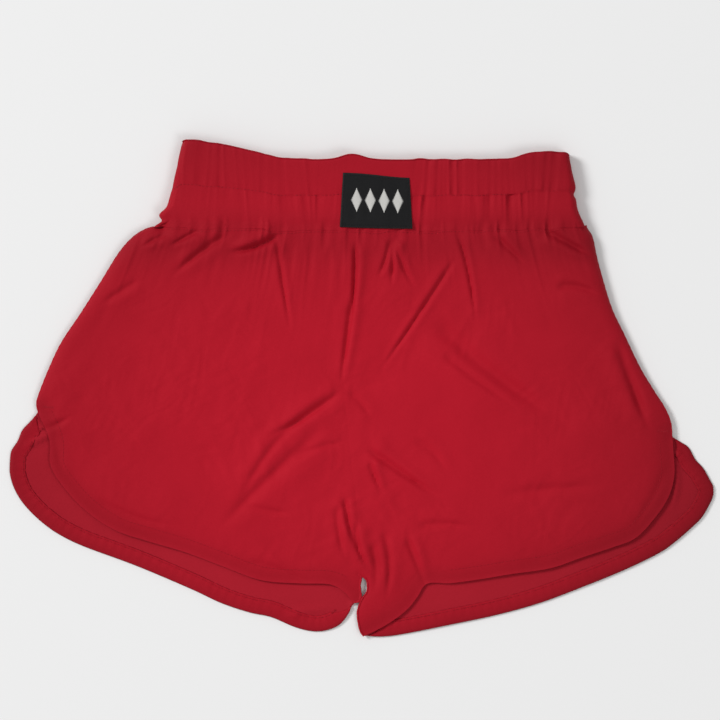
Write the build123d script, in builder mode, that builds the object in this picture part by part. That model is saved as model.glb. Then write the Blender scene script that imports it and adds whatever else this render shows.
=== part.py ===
from build123d import *

import os
from dataclasses import dataclass

# Boxing shorts, laid flat on their back with the legs spread.
# +X runs to the wearer's left, +Y up to the waist and +Z out of the front.
# The origin is on the surface that the shorts lie on, midway across and midway along.
# The cloth lies level in two layers, so most pieces are plans raised to their own heights,
# and the waistband is a flattened ring. All sizes are millimetres.

# Plan of the shorts as they lie
SPREAD = 541.0  # hem tip to hem tip
BAND_HEIGHT = 58.0
WAIST_TOP = 300.0  # flat width of the relaxed waistband, along its upper edge
WAIST_SEAM = 326.0  # and along its lower edge
WAIST_X = 10.0  # the waist lies a little to the wearer's left
RISE = 266.0  # waist seam down to the crotch
RISE_X = -3.0

# Heights through the garment
CLOTH = 0.6
BAND_DEPTH = 13.0
BAND_SKIN = 1.2  # gathered cloth on each face of the waistband's wall
THREAD = 0.3

# Elastics in the waistband's two channels
ELASTIC_THICK = 1.2
ELASTIC_PLAY = 0.2  # between an elastic's face and its channel
CHANNEL_SEAM = 2.0  # cloth sewn together above, between and below the channels

# Seams, hems and stitching
SEAM_THICK = 1.6
RISE_SEAM_WIDTH = 8.0
HEM_WIDTH = 12.0
HEM_THICK = 0.8
STITCH_IN = 1.5  # hem stitching, in from the turned cloth's inner edge
STITCH_WIDTH = 0.6
WAIST_STITCH_DOWN = 1.5  # stitching below the waist seam
BARTACK_LENGTH = 10.0
BARTACK_WIDTH = 2.5
BARTACK_IN = 3.0  # from the slit top, and as far above the fold line

# Labels
LABEL_X = 12.0
LABEL_WIDTH = 55.0
LABEL_HEIGHT = 40.0
LABEL_THICK = 0.8
LABEL_UP = 1.0  # label's lower edge above the waist seam
LABEL_MARGIN = 1.2  # label's edge to its stitching
EMBLEM_DIAMONDS = 4
DIAMOND_WIDTH = 9.0
DIAMOND_HEIGHT = 18.0
DIAMOND_GAP = 1.5
EMBLEM_THICK = 0.3
CARE_LABEL_X = 50.0
CARE_LABEL_WIDTH = 30.0
CARE_LABEL_LENGTH = 45.0
CARE_LABEL_THICK = 0.5

# The legs fold up over the front along the line between the tops of the side slits
FOLD_GAP = 0.4
FOLD_CLEARANCE = 0.4  # between the label's emblem and the legs folded onto it

INSET_STEPS = 24  # spans in a line that follows an edge


@dataclass
class Leg:
    """One side of the shorts, named by the wearer's side."""

    name: str
    sign: int  # -1 on the wearer's right, 1 on their left
    side_seam_drop: float  # waist seam down to the slit top
    side_seam_bow: float  # out of a straight line at its middle
    slit_in: float  # hem tip in to the slit top
    tip_drop: float  # slit top down to the hem tip
    tip_round: float  # the rounded corner's straight start above the tip
    inseam: float
    foot_out: float  # rise out to the foot of the inseam
    back_pull_down: float  # how the back hem leaves its tip
    back_pull_foot: tuple  # and how it comes in to the foot, out and down
    front_pull_slit: tuple  # how the front hem leaves the slit top, out and down
    front_pull_foot: tuple


RIGHT = Leg(
    name="right",
    sign=-1,
    side_seam_drop=142.0,
    side_seam_bow=10.0,
    slit_in=21.5,
    tip_drop=40.0,
    tip_round=15.0,
    inseam=22.0,
    foot_out=4.0,
    back_pull_down=84.0,
    back_pull_foot=(0.0, 60.0),
    front_pull_slit=(4.0, 138.0),
    front_pull_foot=(40.0, -22.0),
)
LEFT = Leg(
    name="left",
    sign=1,
    side_seam_drop=161.0,
    side_seam_bow=-3.0,
    slit_in=31.5,
    tip_drop=38.0,
    tip_round=15.0,
    inseam=48.0,
    foot_out=5.0,
    back_pull_down=56.0,
    back_pull_foot=(104.0, -15.0),
    front_pull_slit=(23.0, 150.0),
    front_pull_foot=(25.0, -82.0),
)
LEGS = (RIGHT, LEFT)

LENGTH = BAND_HEIGHT + RISE + max(leg.inseam for leg in LEGS)
TOP_Y = LENGTH / 2
SEAM_Y = TOP_Y - BAND_HEIGHT
WAIST = Vector(RISE_X, SEAM_Y)  # top of the rise
CROTCH = Vector(RISE_X, SEAM_Y - RISE)

CHANNEL_DEPTH = ELASTIC_THICK + 2 * ELASTIC_PLAY
CHANNEL_HEIGHT = (BAND_HEIGHT - 3 * CHANNEL_SEAM) / 2
BAND_WALL = 2 * BAND_SKIN + CHANNEL_DEPTH
LOWER_CHANNEL_Y = SEAM_Y + CHANNEL_SEAM
UPPER_CHANNEL_Y = LOWER_CHANNEL_Y + CHANNEL_HEIGHT + CHANNEL_SEAM

FRONT_Z = BAND_DEPTH - BAND_WALL  # underside of the front panels
FRONT_TOP_Z = FRONT_Z + CLOTH
LABEL_TOP_Z = BAND_DEPTH + LABEL_THICK
LABEL_Y = SEAM_Y + LABEL_UP + LABEL_HEIGHT / 2
FOLD_Z = (FRONT_TOP_Z + THREAD + LABEL_TOP_Z + EMBLEM_THICK + FOLD_CLEARANCE) / 2


def waist_corner(leg):
    return Vector(WAIST_X + leg.sign * WAIST_SEAM / 2, SEAM_Y)


def slit_top(leg):
    return Vector(leg.sign * (SPREAD / 2 - leg.slit_in), SEAM_Y - leg.side_seam_drop)


def hem_tip(leg):
    return Vector(leg.sign * SPREAD / 2, slit_top(leg).Y - leg.tip_drop)


def foot(leg):
    return Vector(RISE_X + leg.sign * leg.foot_out, CROTCH.Y - leg.inseam)


def out_and_down(leg, pull):
    return Vector(leg.sign * pull[0], -pull[1])


FOLD_RUN = (slit_top(RIGHT) - slit_top(LEFT)).normalized()
FOLD_MIDDLE = (slit_top(RIGHT) + slit_top(LEFT)) / 2
FOLD_UP = Vector(FOLD_RUN.Y, -FOLD_RUN.X)  # level, and towards the waist
HIP = 1
LEG = -1


def beside_fold(side):
    """Upright plane at one edge of the fold line's gap, facing the hips or the legs."""
    return Plane(
        origin=FOLD_MIDDLE + FOLD_UP * (side * FOLD_GAP / 2),
        x_dir=FOLD_RUN,
        z_dir=FOLD_UP * side,
    )


# Edges of a panel, in turn from the waist. Each draws into the caller's BuildLine.


def side_line(leg, layer):
    start = waist_corner(leg)
    end = slit_top(leg)
    out = (end - start).normalized().rotate(Axis.Z, leg.sign * 90)
    Bezier(start, (start + end) / 2 + out * (2 * leg.side_seam_bow), end)


def hem_line(leg, layer):
    """Edge of a leg opening, from the slit top to the foot of the inseam."""
    top = slit_top(leg)
    tip = hem_tip(leg)
    end = foot(leg)
    if layer == "front":
        Bezier(
            top,
            top + out_and_down(leg, leg.front_pull_slit),
            end + out_and_down(leg, leg.front_pull_foot),
            end,
        )
    else:
        Bezier(top, tip + Vector(0, leg.tip_round), tip)
        Bezier(
            tip,
            tip - Vector(0, leg.back_pull_down),
            end + out_and_down(leg, leg.back_pull_foot),
            end,
        )


def inseam_line(leg, layer):
    Line(foot(leg), CROTCH)


def panel_plan(leg, layer):
    """Whole cut of one panel."""
    with BuildSketch() as plan:
        with BuildLine():
            Line(WAIST, waist_corner(leg))
            side_line(leg, layer)
            hem_line(leg, layer)
            inseam_line(leg, layer)
            Line(CROTCH, WAIST)
        make_face()
    return plan.sketch


def inset_points(leg, layer, line, depth):
    """Points along one of a panel's edges, at a depth in from it."""
    with BuildLine() as edge:
        line(leg, layer)
    wire = edge.wire()
    steps = [step / INSET_STEPS for step in range(INSET_STEPS + 1)]
    return [
        wire.position_at(t) + wire.tangent_at(t).rotate(Axis.Z, -leg.sign * 90) * depth
        for t in steps
    ]


def edge_strip(leg, layer, line, near, far):
    """Plan of a panel's cloth from near to far in from one of its edges."""
    outer = inset_points(leg, layer, line, near)
    inner = inset_points(leg, layer, line, far)
    with BuildSketch() as strip:
        with BuildLine():
            Spline(*outer)
            Line(outer[-1], inner[-1])
            Spline(*inner)
            Line(inner[0], outer[0])
        make_face()
        add(panel_plan(leg, layer), mode=Mode.INTERSECT)
    return strip.sketch


def rise_plan():
    """Seam allowance down the middle, from the waist seam to the crotch."""
    with BuildSketch() as plan:
        with Locations((WAIST + CROTCH) / 2):
            Rectangle(RISE_SEAM_WIDTH, RISE)
    return plan.sketch


def inseam_plan(leg):
    with BuildSketch() as plan:
        add(edge_strip(leg, "back", inseam_line, -SEAM_THICK, SEAM_THICK))
        add(rise_plan(), mode=Mode.SUBTRACT)
    return plan.sketch


def hem_plan(leg, layer, near, far):
    with BuildSketch() as plan:
        add(edge_strip(leg, layer, hem_line, near, far))
        add(inseam_plan(leg), mode=Mode.SUBTRACT)
    return plan.sketch


def raise_plan(plan, low, high, side=None):
    """Solid of a plan between two heights, kept on one side of the fold line if side says."""
    with BuildPart() as piece:
        with BuildSketch(Plane.XY.offset(low)):
            add(plan)
        extrude(amount=high - low)
        if side:
            split(bisect_by=beside_fold(side))
    return piece.part


def write(part, name):
    part.label = name
    export_step(part, f"parts/{name}.step")


# Waistband


def band_width(y):
    return WAIST_SEAM + (WAIST_TOP - WAIST_SEAM) * (y - SEAM_Y) / BAND_HEIGHT


def band_core(inset, low, high):
    """The flattened waistband filled solid, inset all round, between two heights."""
    with BuildPart() as core:
        for y in (low, high):
            with BuildSketch(Plane.XZ.offset(-y)):
                with Locations((WAIST_X, BAND_DEPTH / 2)):
                    SlotOverall(band_width(y) - 2 * inset, BAND_DEPTH - 2 * inset)
        loft(ruled=True)
    return core.part


def band_ring(outer, inner, low, high):
    """A flattened ring of the waistband, from the outer inset in to the inner one."""
    with BuildPart() as ring:
        add(band_core(outer, low, high))
        add(band_core(inner, low, high), mode=Mode.SUBTRACT)
    return ring.part


def channel(low):
    return band_ring(BAND_SKIN, BAND_SKIN + CHANNEL_DEPTH, low, low + CHANNEL_HEIGHT)


os.makedirs("parts", exist_ok=True)

for name, keep in (("front_waistband", Keep.TOP), ("back_waistband", Keep.BOTTOM)):
    with BuildPart() as waistband:
        add(band_ring(0, BAND_WALL, SEAM_Y, TOP_Y))
        add(channel(LOWER_CHANNEL_Y), mode=Mode.SUBTRACT)
        add(channel(UPPER_CHANNEL_Y), mode=Mode.SUBTRACT)
        split(bisect_by=Plane.XY.offset(BAND_DEPTH / 2), keep=keep)
    write(waistband.part, name)

for name, low in (("lower_elastic", LOWER_CHANNEL_Y), ("upper_elastic", UPPER_CHANNEL_Y)):
    outer = BAND_SKIN + ELASTIC_PLAY
    write(band_ring(outer, outer + ELASTIC_THICK, low, low + CHANNEL_HEIGHT), name)

# Stitching between the channels runs on both sides of the label and not under it
row_y = UPPER_CHANNEL_Y - CHANNEL_SEAM / 2
row_end = band_width(row_y) / 2 - BAND_DEPTH / 2
with BuildPart() as waistband_stitching:
    with BuildSketch(Plane.XY.offset(BAND_DEPTH)):
        with Locations((WAIST_X, row_y)):
            Rectangle(2 * row_end, STITCH_WIDTH)
        with Locations((LABEL_X, LABEL_Y)):
            Rectangle(LABEL_WIDTH, LABEL_HEIGHT, mode=Mode.SUBTRACT)
    extrude(amount=THREAD)
write(waistband_stitching.part, "waistband_stitching")

with BuildPart() as waist_seam_stitching:
    with BuildSketch(Plane.XY.offset(FRONT_TOP_Z)):
        with Locations((WAIST_X, SEAM_Y - WAIST_STITCH_DOWN)):
            Rectangle(WAIST_SEAM - BAND_DEPTH, STITCH_WIDTH)
    extrude(amount=THREAD)
write(waist_seam_stitching.part, "waist_seam_stitching")

# Labels

with BuildPart() as label_patch:
    with BuildSketch(Plane.XY.offset(BAND_DEPTH)):
        with Locations((LABEL_X, LABEL_Y)):
            Rectangle(LABEL_WIDTH, LABEL_HEIGHT)
    extrude(amount=LABEL_THICK)
write(label_patch.part, "label_patch")

stitched_width = LABEL_WIDTH - 2 * LABEL_MARGIN
stitched_height = LABEL_HEIGHT - 2 * LABEL_MARGIN
with BuildPart() as label_stitching:
    with BuildSketch(Plane.XY.offset(LABEL_TOP_Z)):
        with Locations((LABEL_X, LABEL_Y)):
            Rectangle(stitched_width, stitched_height)
            Rectangle(
                stitched_width - 2 * STITCH_WIDTH,
                stitched_height - 2 * STITCH_WIDTH,
                mode=Mode.SUBTRACT,
            )
    extrude(amount=THREAD)
write(label_stitching.part, "label_stitching")

with BuildSketch() as diamond:
    with BuildLine():
        Polyline(
            (-DIAMOND_WIDTH / 2, 0),
            (0, -DIAMOND_HEIGHT / 2),
            (DIAMOND_WIDTH / 2, 0),
            (0, DIAMOND_HEIGHT / 2),
            close=True,
        )
    make_face()

with BuildPart() as label_emblem:
    with BuildSketch(Plane.XY.offset(LABEL_TOP_Z)):
        with Locations((LABEL_X, LABEL_Y)):
            with GridLocations(DIAMOND_WIDTH + DIAMOND_GAP, 0, EMBLEM_DIAMONDS, 1):
                add(diamond.sketch)
    extrude(amount=EMBLEM_THICK)
write(label_emblem.part, "label_emblem")

with BuildPart() as care_label:
    with BuildSketch(Plane.XY.offset(CLOTH)):
        with Locations((CARE_LABEL_X, SEAM_Y)):
            Rectangle(CARE_LABEL_WIDTH, CARE_LABEL_LENGTH, align=(Align.CENTER, Align.MAX))
    extrude(amount=CARE_LABEL_THICK)
write(care_label.part, "care_label")

# Panels, hems and seams of each leg

for leg in LEGS:
    for layer, cloth_z, hem_z, stitch_z in (
        ("front", FRONT_Z, FRONT_Z - HEM_THICK, FRONT_TOP_Z),
        ("back", 0.0, CLOTH, CLOTH + HEM_THICK),
    ):
        place = f"{layer}_{leg.name}"
        plan = panel_plan(leg, layer)
        write(raise_plan(plan, cloth_z, cloth_z + CLOTH, HIP), f"{place}_hip_panel")
        write(raise_plan(plan, cloth_z, cloth_z + CLOTH, LEG), f"{place}_leg_panel")
        hem = hem_plan(leg, layer, -HEM_WIDTH, HEM_WIDTH)
        write(raise_plan(hem, hem_z, hem_z + HEM_THICK, LEG), f"{place}_hem")
        stitch_far = HEM_WIDTH - STITCH_IN
        stitching = hem_plan(leg, layer, stitch_far - STITCH_WIDTH, stitch_far)
        write(
            raise_plan(stitching, stitch_z, stitch_z + THREAD, LEG),
            f"{place}_hem_stitching",
        )

    side_seam = edge_strip(leg, "back", side_line, -SEAM_THICK, SEAM_THICK)
    write(raise_plan(side_seam, CLOTH, FRONT_Z, HIP), f"{leg.name}_side_seam")
    write(raise_plan(inseam_plan(leg), CLOTH, FRONT_Z), f"{leg.name}_inseam")

    tack = slit_top(leg) + FOLD_RUN * (leg.sign * (BARTACK_IN + BARTACK_LENGTH / 2))
    with BuildPart() as bartack:
        with BuildSketch(Plane.XY.offset(FRONT_TOP_Z)):
            with Locations(tack + FOLD_UP * (BARTACK_IN + BARTACK_WIDTH / 2)):
                Rectangle(BARTACK_LENGTH, BARTACK_WIDTH)
        extrude(amount=THREAD)
    write(bartack.part, f"{leg.name}_slit_bartack")

for layer, low in (("front", FRONT_Z - HEM_THICK), ("back", CLOTH)):
    for name, side in (("hip", HIP), ("leg", LEG)):
        seam = raise_plan(rise_plan(), low, low + HEM_THICK, side)
        write(seam, f"{layer}_{name}_rise_seam")

print("Fold axis through", FOLD_MIDDLE + Vector(0, 0, FOLD_Z), "along", FOLD_RUN)
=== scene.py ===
import math
from dataclasses import dataclass

import bmesh
import bpy
import numpy as np
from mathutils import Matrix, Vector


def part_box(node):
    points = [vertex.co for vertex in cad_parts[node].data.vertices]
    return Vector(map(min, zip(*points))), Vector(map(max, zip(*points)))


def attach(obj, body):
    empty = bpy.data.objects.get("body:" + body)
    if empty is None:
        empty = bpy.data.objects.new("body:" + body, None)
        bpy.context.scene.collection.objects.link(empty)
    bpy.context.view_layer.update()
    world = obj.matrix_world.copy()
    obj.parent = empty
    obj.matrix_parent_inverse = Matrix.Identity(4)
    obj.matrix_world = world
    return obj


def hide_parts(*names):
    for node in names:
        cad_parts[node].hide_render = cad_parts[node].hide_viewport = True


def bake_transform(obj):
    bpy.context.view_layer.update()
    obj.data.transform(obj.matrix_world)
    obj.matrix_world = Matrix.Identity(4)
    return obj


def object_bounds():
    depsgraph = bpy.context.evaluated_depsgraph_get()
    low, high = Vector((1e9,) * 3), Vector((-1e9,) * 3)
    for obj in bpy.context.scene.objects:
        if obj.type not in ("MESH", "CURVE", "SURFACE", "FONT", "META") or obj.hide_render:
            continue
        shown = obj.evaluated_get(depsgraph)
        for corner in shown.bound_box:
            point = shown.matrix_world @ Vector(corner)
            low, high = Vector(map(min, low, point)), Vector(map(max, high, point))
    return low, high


# Boxing shorts, laid flat on their back with the legs spread.
# Cloth is worked out in millimetres, in plan (x, y) with its height z as a function of the plan,
# and becomes metres where each mesh is made.

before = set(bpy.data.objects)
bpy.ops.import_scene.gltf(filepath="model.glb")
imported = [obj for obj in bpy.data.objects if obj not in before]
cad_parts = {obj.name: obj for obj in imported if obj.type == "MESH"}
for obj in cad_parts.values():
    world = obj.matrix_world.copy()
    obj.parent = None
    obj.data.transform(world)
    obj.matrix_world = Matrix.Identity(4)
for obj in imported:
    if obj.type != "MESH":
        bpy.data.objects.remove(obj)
CAD_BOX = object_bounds()
MM = 0.001


# Places that the frame gives


def low(node):
    return np.array(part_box(node)[0]) / MM


def high(node):
    return np.array(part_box(node)[1]) / MM


def furthest(node, x, y):
    """Plan of the point of a CAD node that lies furthest in a level direction."""
    points = np.array([v.co[:2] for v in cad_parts[node].data.vertices]) / MM
    return points[np.argmax(points @ np.array((x, y)))]


SEAM_Y = low("front_waistband")[1]
TOP_Y = high("front_waistband")[1]
BAND_RIGHT = low("front_waistband")[0]
BAND_LEFT = high("front_waistband")[0]
BAND_DEPTH = high("front_waistband")[2]
BAND_TAPER = (BAND_LEFT - BAND_RIGHT) * 0.04  # each side, from the seam up to the top edge
WAIST_X = (BAND_LEFT + BAND_RIGHT) / 2
FRONT_Z = high("front_right_hip_panel")[2]
RISE_X = (low("back_leg_rise_seam")[0] + high("back_leg_rise_seam")[0]) / 2
WAIST = np.array((RISE_X, SEAM_Y))
CROTCH = np.array((RISE_X, low("back_leg_rise_seam")[1]))
HALF_WIDTH, HALF_HEIGHT = (np.array(CAD_BOX[1]) - np.array(CAD_BOX[0]))[:2] / MM / 2
HEM_WIDTH = 12.0
CLOTH = 0.6


# Lines


def arc_lengths(line):
    return np.concatenate([[0.0], np.cumsum(np.linalg.norm(np.diff(line, axis=0), axis=1))])


def spaced(line, count):
    """The same line with its points evenly spaced."""
    along = arc_lengths(line)
    even = np.linspace(0, along[-1], count)
    return np.stack([np.interp(even, along, line[:, k]) for k in range(line.shape[1])], axis=1)


def smooth_line(points):
    """A rounded line through points."""
    ends = [2 * points[0] - points[1], *points, 2 * points[-1] - points[-2]]
    t = np.linspace(0, 1, 13)[:-1, None]
    spans = [
        0.5 * (2 * b + (c - a) * t + (2 * a - 5 * b + 4 * c - d) * t**2 + (3 * b - a - 3 * c + d) * t**3)
        for a, b, c, d in zip(ends, ends[1:], ends[2:], ends[3:])
    ]
    return np.vstack([*spans, points[-1]])


def bowed(start, end, sign, bows):
    """A line from start to end through bows: each a share of the way, and how far out from straight."""
    run = end - start
    out = np.array((run[1], -run[0])) / np.linalg.norm(run) * -sign
    between = [start + run * share + out * bow for share, bow in bows]
    return smooth_line(np.array([start, *between, end]))


def nearest(points, line):
    """Each point's distance from a line, with its side as the sign, and its share of the way."""
    a, run = line[:-1], np.diff(line, axis=0)
    off = points[:, None, :] - a[None]
    t = np.clip((off * run).sum(2) / (run * run).sum(1), 0, 1)
    off = off - t[..., None] * run
    gap = (off * off).sum(2)
    best = gap.argmin(1)
    rows = np.arange(len(points))
    side = np.sign(run[best, 0] * off[rows, best, 1] - run[best, 1] * off[rows, best, 0])
    along = arc_lengths(line)
    share = (along[best] + t[rows, best] * np.diff(along)[best]) / along[-1]
    return np.sqrt(gap[rows, best]) * side, share


def inset(line, sign, depth):
    """A line at a depth in from one of a panel's edges."""
    run = np.gradient(line, axis=0)
    run = np.stack([np.convolve(np.pad(part, 4, "edge"), np.ones(9) / 9, "valid") for part in run.T], axis=1)
    run /= np.linalg.norm(run, axis=1)[:, None]
    return line + np.stack([run[:, 1], -run[:, 0]], axis=1) * sign * np.reshape(depth, (-1, 1))


@dataclass
class Leg:
    """The edges of one side of the shorts, named by the wearer's side."""

    name: str
    sign: int
    side_bows: tuple
    slit_bows: tuple
    front_hem_bows: tuple
    back_hem_bows: tuple
    inseam_bows: tuple
    front_turn: float  # share of the front hem before its rounded corner
    back_turn: float
    front_hem_end: float  # share of the front hem line that its turning covers

    def __post_init__(self):
        out = (self.sign, 0)
        self.waist_corner = np.array((BAND_LEFT if self.sign > 0 else BAND_RIGHT, SEAM_Y))
        self.slit = furthest(f"back_{self.name}_hip_panel", *out)
        self.tip = furthest(f"back_{self.name}_leg_panel", *out)
        self.foot = furthest(f"{self.name}_inseam", 0, -1)
        self.side = bowed(self.waist_corner, self.slit, self.sign, self.side_bows)
        slit_to_tip = bowed(self.slit, self.tip, self.sign, self.slit_bows)
        tip_to_foot = bowed(self.tip, self.foot, self.sign, self.back_hem_bows)
        self.hem = {
            "front": spaced(bowed(self.slit, self.foot, self.sign, self.front_hem_bows), 400),
            "back": spaced(np.vstack([slit_to_tip[:-1], tip_to_foot]), 400),
        }
        self.turn = {"front": self.front_turn, "back": self.back_turn}
        self.hem_end = {"front": self.front_hem_end, "back": 0.99}
        self.inseam = bowed(CROTCH, self.foot, self.sign, self.inseam_bows)


RIGHT = Leg(
    name="right",
    sign=-1,
    side_bows=(
        (0.03, 8.0), (0.1, 14.4), (0.2, 17.0), (0.36, 16.0), (0.52, 15.2), (0.68, 15.0), (0.8, 12.0),
        (0.92, 7.6), (0.97, 4.8),
    ),
    slit_bows=((0.2, 1.6), (0.4, 3.8), (0.6, 3.0), (0.8, 3.6)),
    front_hem_bows=(
        (0.067, 13.6), (0.104, 29.6), (0.16, 38.5), (0.25, 45.8), (0.345, 47.0), (0.44, 41.0),
        (0.54, 33.7), (0.64, 28.4), (0.754, 22.0), (0.848, 9.0), (0.92, -2.5), (0.966, -3.5),
    ),
    back_hem_bows=(
        (0.01, 6.6), (0.03, 14.2), (0.06, 21.6), (0.1, 27.8), (0.15, 33.0), (0.2, 36.0),
        (0.27, 37.2), (0.42, 36.0), (0.58, 36.8), (0.67, 38.2), (0.75, 36.8), (0.81, 33.9),
        (0.88, 34.2), (0.93, 32.0), (0.965, 27.0), (0.99, 19.5), (1.002, 9.0),
    ),
    inseam_bows=((0.12, -2.8), (0.4, -3.0), (0.7, -5.0), (0.9, -5.2)),
    front_turn=0.27,
    back_turn=0.22,
    front_hem_end=0.98,
)
LEFT = Leg(
    name="left",
    sign=1,
    side_bows=(
        (0.05, 1.4), (0.14, -1.4), (0.26, -4.0), (0.38, -5.6), (0.5, -4.4), (0.66, -2.8), (0.78, 0.4),
        (0.87, 3.2), (0.94, 3.2),
    ),
    slit_bows=((0.15, 2.4), (0.3, 4.2), (0.5, 2.4), (0.68, 2.8), (0.85, 1.4)),
    front_hem_bows=(
        (0.02, 10.2), (0.052, 25.5), (0.098, 37.2), (0.157, 44.7), (0.234, 50.0), (0.306, 46.0),
        (0.39, 39.9), (0.474, 33.9), (0.574, 21.1), (0.65, 11.8), (0.725, 1.8), (0.778, -7.4),
        (0.822, -2.8), (0.854, 0.3), (0.894, 1.9), (0.946, 1.9),
    ),
    back_hem_bows=(
        (0.01, 6.4), (0.03, 12.0), (0.06, 18.4), (0.1, 23.0), (0.15, 27.6), (0.2, 30.6),
        (0.3, 32.0), (0.42, 31.4), (0.54, 29.8), (0.66, 25.0), (0.78, 18.0), (0.9, 10.6), (0.96, 5.6),
    ),
    inseam_bows=((0.11, 6.6), (0.3, 6.2), (0.42, 1.5), (0.62, -2.8), (0.88, -2.4)),
    front_turn=0.24,
    back_turn=0.20,
    front_hem_end=0.765,
)
LEGS = (RIGHT, LEFT)
RISE_STEPS = ((-2, -20), (-4, -62), (-10, -118), (-6, -168), (0, -222))  # out from the waist, on the front
RISE = {
    "front": smooth_line(np.array([WAIST, *(WAIST + np.array(step) for step in RISE_STEPS), CROTCH])),
    "back": spaced(np.array((WAIST, CROTCH)), 60),
}


# Relief


def noise(x, y, size, seed):
    """Smooth seeded noise from -1 to 1, with lumps about size across."""
    lattice = np.random.default_rng(seed).uniform(-1, 1, (64, 64))
    gx, gy = x / size + 320, y / size + 320
    ix, iy = np.floor(gx).astype(int), np.floor(gy).astype(int)
    fx, fy = gx - ix, gy - iy
    fx, fy = fx * fx * fx * (fx * (6 * fx - 15) + 10), fy * fy * fy * (fy * (6 * fy - 15) + 10)

    def at(i, j):
        return lattice[i % 64, j % 64]

    near = at(ix, iy) * (1 - fx) + at(ix + 1, iy) * fx
    far = at(ix, iy + 1) * (1 - fx) + at(ix + 1, iy + 1) * fx
    return near * (1 - fy) + far * fy


def wrinkles(x, y, degrees, length, width, seed):
    """Long narrow creases in one direction, from -1 in the flats to 1 on the crests."""
    c, s = math.cos(math.radians(degrees)), math.sin(math.radians(degrees))
    bend = noise(x, y, length, seed + 50) * width
    n = noise((x * c + y * s) * width / length, y * c - x * s + bend, width, seed)
    return 1 - 2.4 * np.sqrt(n * n + 0.004)


def smooth_step(t):
    t = np.clip(t, 0, 1)
    return t * t * (3 - 2 * t)


def rounded(distance, radius):
    """0 at an edge, rising as a quarter circle to 1."""
    t = np.clip(distance / radius, 0, 1)
    return np.sqrt(1 - (1 - t) ** 2)


@dataclass
class Fold:
    """A groove in the cloth with a raised lip on each side."""

    start: tuple
    bend: tuple
    end: tuple
    width: float
    depth: float
    lip: float = 0.7  # on the left of its run, as a share of the depth
    far_lip: float = 0.3

    def relief(self, points):
        reach = 6 * self.width
        a, b, c = np.array(self.start), np.array(self.bend), np.array(self.end)
        box = np.array((a, b, c))
        near = ((points > box.min(0) - reach) & (points < box.max(0) + reach)).all(1)
        relief = np.zeros(len(points))
        if not near.any():
            return relief
        t = np.linspace(0, 1, 25)[:, None]
        line = a * (1 - t) ** 2 + 2 * b * t * (1 - t) + c * t**2
        gap, share = nearest(points[near], line)
        fade = smooth_step(share / 0.18) * smooth_step((1 - share) / 0.4)
        w = self.width * (1.0 - 0.45 * share)
        groove = -1.15 * np.exp(-((gap / w) ** 2))
        lips = self.lip * np.exp(-(((gap - 2.4 * w) / (2.1 * w)) ** 2))
        lips += self.far_lip * np.exp(-(((gap + 2.4 * w) / (2.1 * w)) ** 2))
        relief[near] = (groove + lips) * fade * self.depth
        return relief


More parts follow.
